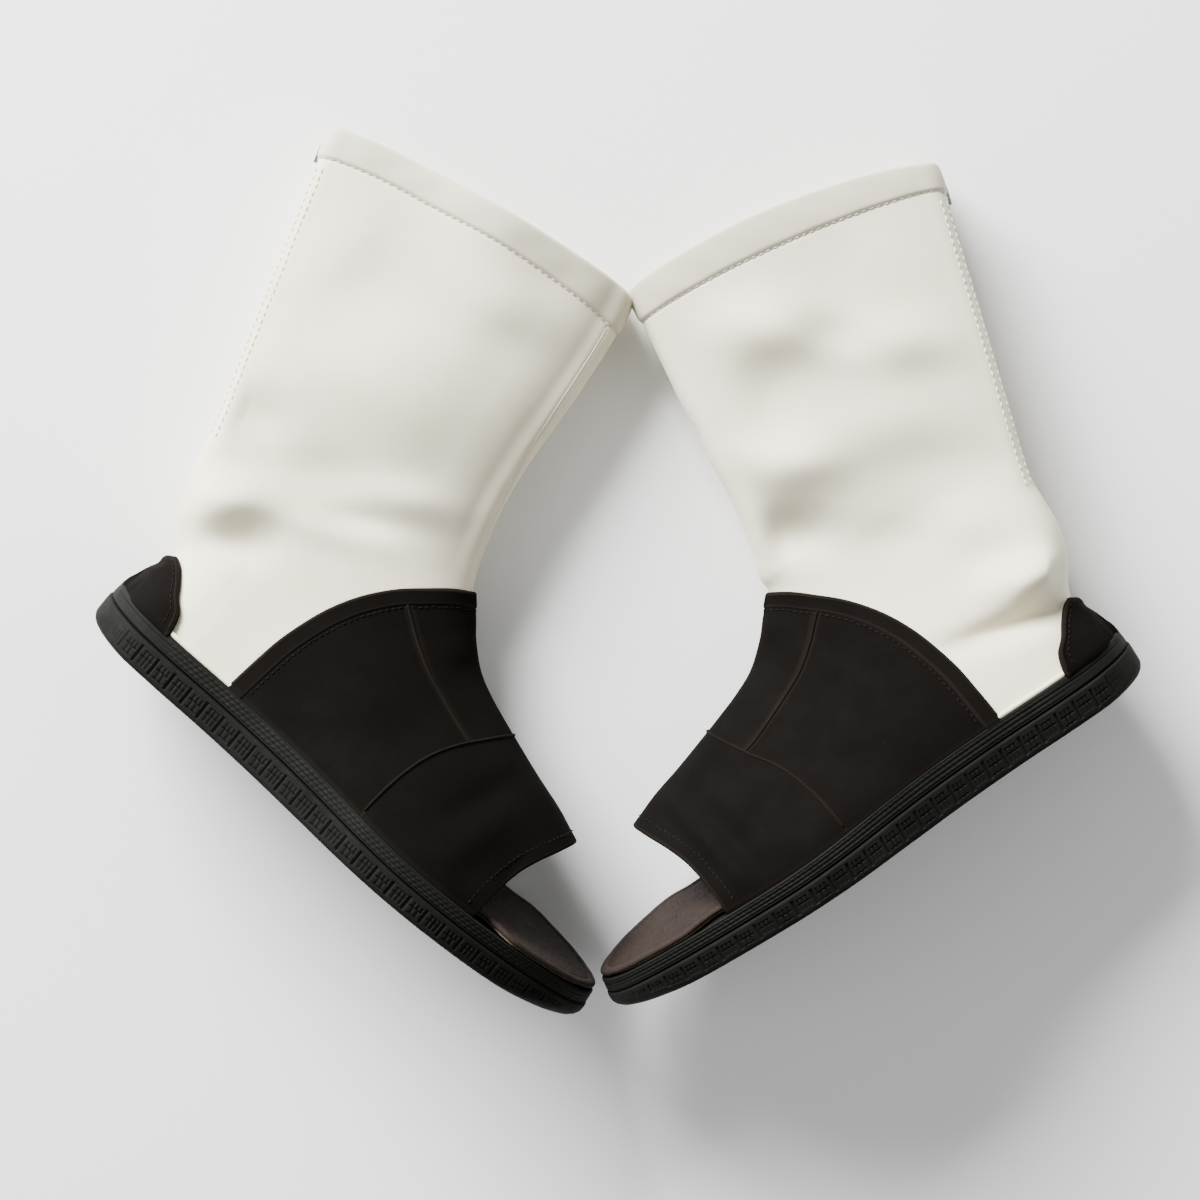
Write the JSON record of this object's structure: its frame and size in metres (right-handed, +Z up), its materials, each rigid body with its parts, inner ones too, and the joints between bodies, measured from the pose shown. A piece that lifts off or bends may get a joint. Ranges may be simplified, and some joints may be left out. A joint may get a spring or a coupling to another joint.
{
  "type": "neoprene boots",
  "caption": "Open-toe boots with off-white neoprene shafts, back zips, black neoprene vamps and heel counters, lugged rubber soles and grained footbeds.",
  "frame": {"origin": "middle of the pair's footprint, on the surface the boots lie on", "axes": "+X across the pair from the right boot to the left boot, +Y from the toes to the shaft tops, +Z up from the surface; each boot lies on its inner side"},
  "size_m": [0.4724, 0.3998, 0.1021],
  "materials": {
    "rubber": "moulded, matt",
    "midsole": "moulded, ribbed, matt",
    "footbed": "grained, dark taupe brown",
    "board": "fibre board, matt",
    "black": "knit-faced neoprene, black with a soft sheen",
    "white": "smooth neoprene, off-white",
    "tape": "woven tape, off-white",
    "coil": "moulded, satin",
    "metal": "polished, nickel look"
  },
  "bodies": {
    "right_foot": {"right_outsole": "rubber", "right_midsole": "midsole", "right_insole_board": "board", "right_footbed": "footbed", "right_vamp_binding": "black", "right_side_panel_outer": "black", "right_side_panel_inner": "black", "right_instep_panel": "black", "right_toe_band": "black", "right_heel_counter": "black", "right_ankle_panel_outer": "white", "right_ankle_panel_inner": "white"},
    "right_shaft": {"right_shaft_panel_outer": "white", "right_shaft_panel_inner": "white", "right_top_hem": "white", "right_front_seam_tape": "tape", "right_zip_tape_outer": "tape", "right_zip_tape_inner": "tape", "right_zip_teeth_outer": "coil", "right_zip_teeth_inner": "coil", "right_zip_top_stop_outer": "metal", "right_zip_top_stop_inner": "metal", "right_zip_bottom_stop": "metal"},
    "right_zip_slider_body": {"right_zip_slider": "metal"},
    "right_zip_pull_body": {"right_zip_pull": "metal"},
    "left_foot": {"left_outsole": "rubber", "left_midsole": "midsole", "left_insole_board": "board", "left_footbed": "footbed", "left_vamp_binding": "black", "left_side_panel_outer": "black", "left_side_panel_inner": "black", "left_instep_panel": "black", "left_toe_band": "black", "left_heel_counter": "black", "left_ankle_panel_outer": "white", "left_ankle_panel_inner": "white"},
    "left_shaft": {"left_shaft_panel_outer": "white", "left_shaft_panel_inner": "white", "left_top_hem": "white", "left_front_seam_tape": "tape", "left_zip_tape_outer": "tape", "left_zip_tape_inner": "tape", "left_zip_teeth_outer": "coil", "left_zip_teeth_inner": "coil", "left_zip_top_stop_outer": "metal", "left_zip_top_stop_inner": "metal", "left_zip_bottom_stop": "metal"},
    "left_zip_slider_body": {"left_zip_slider": "metal"},
    "left_zip_pull_body": {"left_zip_pull": "metal"}
  },
  "joints": [
    {"name": "left_boot_away", "type": "slide", "parent": "right_foot", "child": "left_foot", "axis": [1, 0, 0], "range_m": [0, 0.15]},
    {"name": "right_ankle_flex", "type": "hinge", "parent": "right_foot", "child": "right_shaft", "pos_m": [-0.13049, 0.02668, 0.02057], "axis": [0, 0, 1], "range_deg": [0, 16], "stiffness_Nm_per_rad": 0.6, "deforming": ["right_ankle_panel_outer", "right_ankle_panel_inner"]},
    {"name": "right_zip_slide", "type": "slide", "parent": "right_shaft", "child": "right_zip_slider_body", "axis": [-0.3648, -0.9308, 0.0227], "range_m": [0, 0.118]},
    {"name": "right_pull_tilt", "type": "hinge", "parent": "right_zip_slider_body", "child": "right_zip_pull_body", "pos_m": [-0.13565, 0.18951, 0.02072], "axis": [-0.0083, -0.0211, -0.9997], "range_deg": [0, 80]},
    {"name": "left_ankle_flex", "type": "hinge", "parent": "left_foot", "child": "left_shaft", "pos_m": [0.13751, 0.01741, 0.02057], "axis": [0, 0, -1], "range_deg": [0, 16], "stiffness_Nm_per_rad": 0.6, "deforming": ["left_ankle_panel_outer", "left_ankle_panel_inner"]},
    {"name": "left_zip_slide", "type": "slide", "parent": "left_shaft", "child": "left_zip_slider_body", "axis": [0.2854, -0.9581, 0.0229], "range_m": [0, 0.118]},
    {"name": "left_pull_tilt", "type": "hinge", "parent": "left_zip_slider_body", "child": "left_zip_pull_body", "pos_m": [0.14917, 0.17047, 0.0207], "axis": [-0.0065, 0.0219, 0.9997], "range_deg": [0, 80]}
  ]
}
